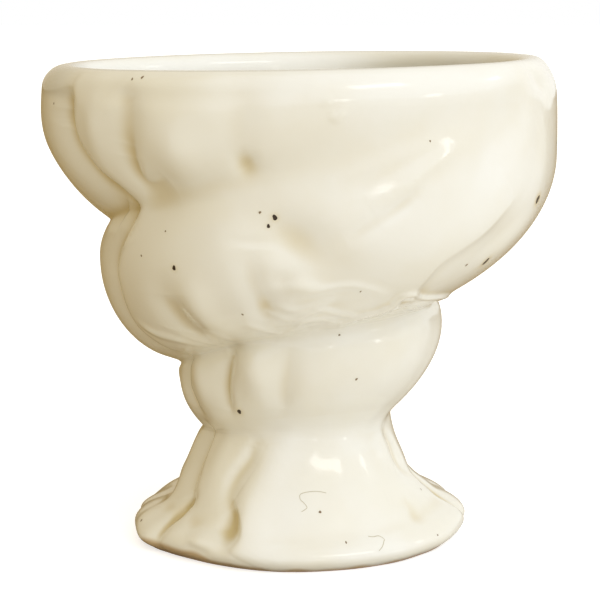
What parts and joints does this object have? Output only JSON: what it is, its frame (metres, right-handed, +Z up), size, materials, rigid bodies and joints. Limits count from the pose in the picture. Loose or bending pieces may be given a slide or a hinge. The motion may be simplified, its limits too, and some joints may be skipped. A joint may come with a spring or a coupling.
{
  "type": "egg cup",
  "caption": "Glazed pottery egg cup shaped as a spiral shell standing on its tip, with a round open bowl for a boiled egg and a flared, fluted foot.",
  "frame": {"origin": "on the plane that the foot ring rests on, under the middle of the cup's box", "axes": "+Z up along the cup's axis, +X towards the side where the shell's outer lip stands proud of the stem, -Y towards the side that shows the spiral running up to the right"},
  "size_m": [0.0578, 0.0574, 0.0545],
  "materials": {
    "bowl_glaze": "glossy ivory lead glaze, tan where it pools, a few dark specks",
    "stem_glaze": "glossy ivory lead glaze, tan in the creases",
    "foot_glaze": "glossy ivory lead glaze, bare tan clay on the foot ring",
    "bowl_slip": "fired clay slip under the glaze",
    "foot_slip": "fired clay slip under the glaze"
  },
  "bodies": {
    "root": {"foot": "foot_glaze", "foot_luting_seam": "foot_slip", "stem_whorl": "stem_glaze", "bowl_luting_seam": "bowl_slip", "bowl": "bowl_glaze"}
  },
  "joints": []
}
